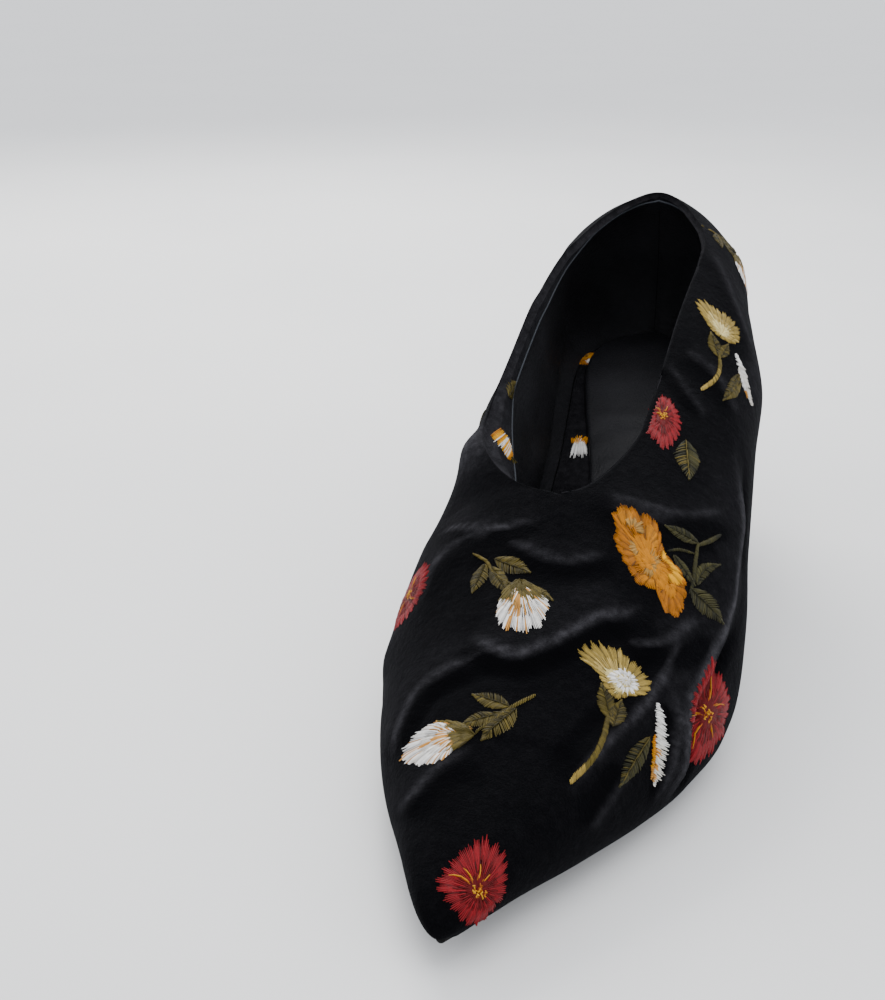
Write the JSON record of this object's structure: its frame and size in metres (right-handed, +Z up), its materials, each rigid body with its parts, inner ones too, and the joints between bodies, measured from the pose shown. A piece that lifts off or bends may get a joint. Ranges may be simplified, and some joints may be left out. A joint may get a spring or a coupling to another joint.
{
  "type": "velvet pump",
  "caption": "Pointed velvet pump with a deep rounded collar, a hollow shell over a thin leather sole, a padded sock lining and a covered block heel.",
  "frame": {"origin": "on the floor, under the middle of the heel's base", "axes": "+Z up; the toe points towards -Y; +X is the lateral side of this left shoe"},
  "size_m": [0.0867, 0.2642, 0.108],
  "materials": {
    "velvet": "matt pile with a soft sheen, scattered satin-stitch flower sprigs",
    "leather": "smooth semi-gloss",
    "sole_leather": "dyed and polished edge",
    "tip_rubber": "matt"
  },
  "bodies": {
    "root": {"upper": "velvet", "insole": "velvet", "heel": "velvet", "sock_lining": "leather", "outsole": "sole_leather", "top_piece": "tip_rubber"}
  },
  "joints": []
}
